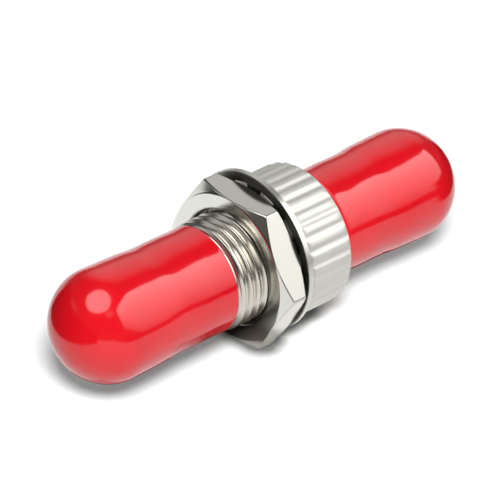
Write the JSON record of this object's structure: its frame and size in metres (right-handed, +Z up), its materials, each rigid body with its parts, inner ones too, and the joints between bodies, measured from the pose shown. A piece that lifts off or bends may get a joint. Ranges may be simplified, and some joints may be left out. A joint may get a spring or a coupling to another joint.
{
  "type": "panel-mount fibre optic adapter",
  "caption": "Metal bulkhead adapter joining bayonet fibre plugs, with knurled flange, hex panel nut, lock washer and red dust caps.",
  "frame": {"origin": "on the optical axis, in the plane of the flange's panel face", "axes": "+X along the optical axis from the threaded shank to the knurled flange, +Z up with the nut lying on a flat and the keyways on top"},
  "size_m": [0.0419, 0.015, 0.014],
  "materials": {
    "nickel_plate": "bright nickel plate over turned brass",
    "zirconia": "ground white zirconia",
    "spring_steel": "bright plated spring steel",
    "red_vinyl": "glossy soft dipped vinyl"
  },
  "bodies": {
    "adapter": {"threaded_body": "nickel_plate", "flange_body": "nickel_plate", "alignment_sleeve": "zirconia"},
    "washer": {"lock_washer": "spring_steel"},
    "nut": {"hex_nut": "nickel_plate"},
    "cap_left": {"dust_cap_left": "red_vinyl"},
    "cap_right": {"dust_cap_right": "red_vinyl"}
  },
  "joints": [
    {"name": "nut_travel", "type": "slide", "parent": "adapter", "child": "washer", "axis": [1, 0, 0], "range_m": [-0.0026, 0.00011]},
    {"name": "nut_turn", "type": "hinge", "parent": "washer", "child": "nut", "pos_m": [-0.00207, 0, 0], "axis": [1, 0, 0], "range_deg": [-1180, 50]},
    {"name": "cap_left_pull", "type": "slide", "parent": "adapter", "child": "cap_left", "axis": [-1, 0, 0], "range_m": [0, 0.02]},
    {"name": "cap_right_pull", "type": "slide", "parent": "adapter", "child": "cap_right", "axis": [1, 0, 0], "range_m": [0, 0.02]}
  ],
  "couplings": [
    {"joint": "nut_turn", "follows": "nut_travel", "rad_per_m": 7915.8}
  ]
}
